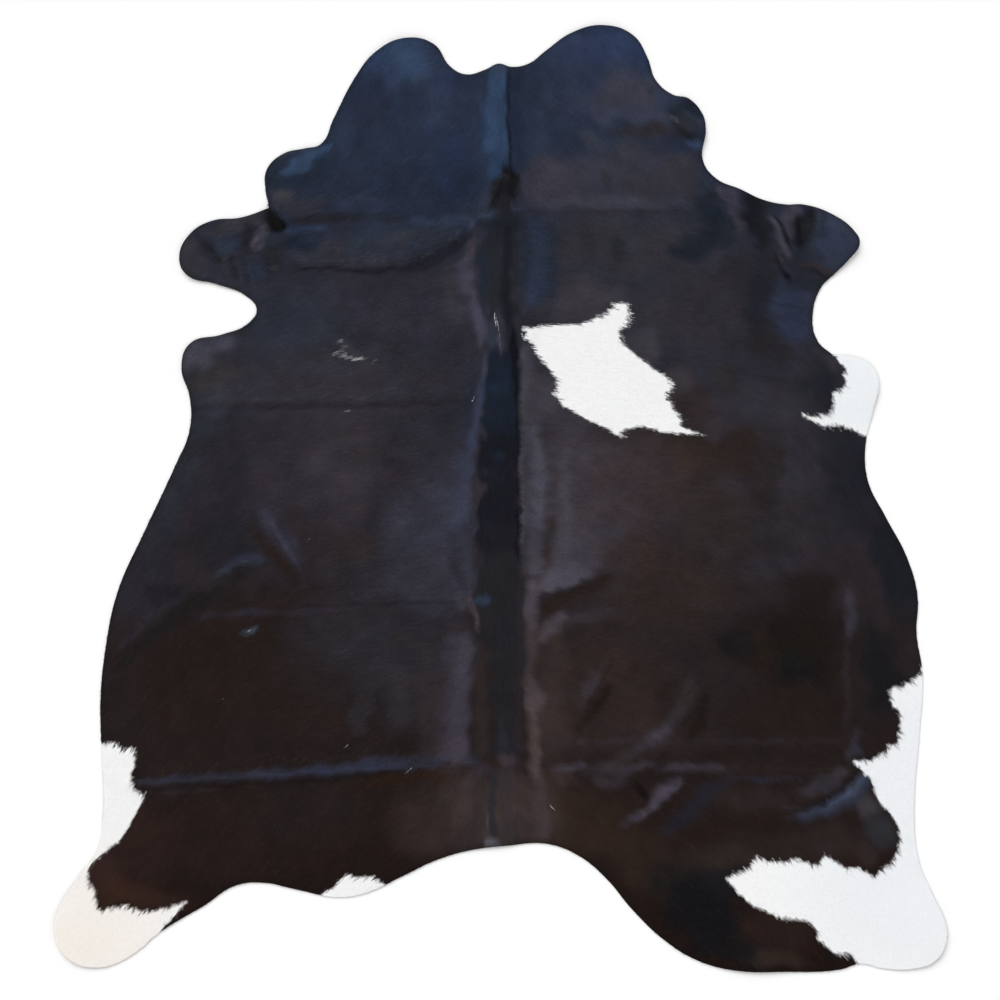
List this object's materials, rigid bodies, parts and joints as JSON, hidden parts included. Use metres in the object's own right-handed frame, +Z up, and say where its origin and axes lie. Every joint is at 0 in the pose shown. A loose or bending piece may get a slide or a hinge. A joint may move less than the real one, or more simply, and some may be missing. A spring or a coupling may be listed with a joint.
{
  "type": "cowhide rug",
  "caption": "Whole cowhide floor rug lying hair side up, cut to the hide's natural outline, with neck lobes, shanks, flank flaps and hind feet, and low folds along the spine and across.",
  "frame": {"origin": "on the floor plane, under the middle of the hide's length and width", "axes": "+Y along the spine towards the neck, +X to the right of the picture, +Z up out of the hair side"},
  "size_m": [2.1393, 2.2688, 0.016],
  "materials": {
    "coat": "short dark brown-black hair with a satin sheen and white patches, over suede-backed leather"
  },
  "bodies": {
    "root": {"hide": "coat"}
  },
  "joints": []
}
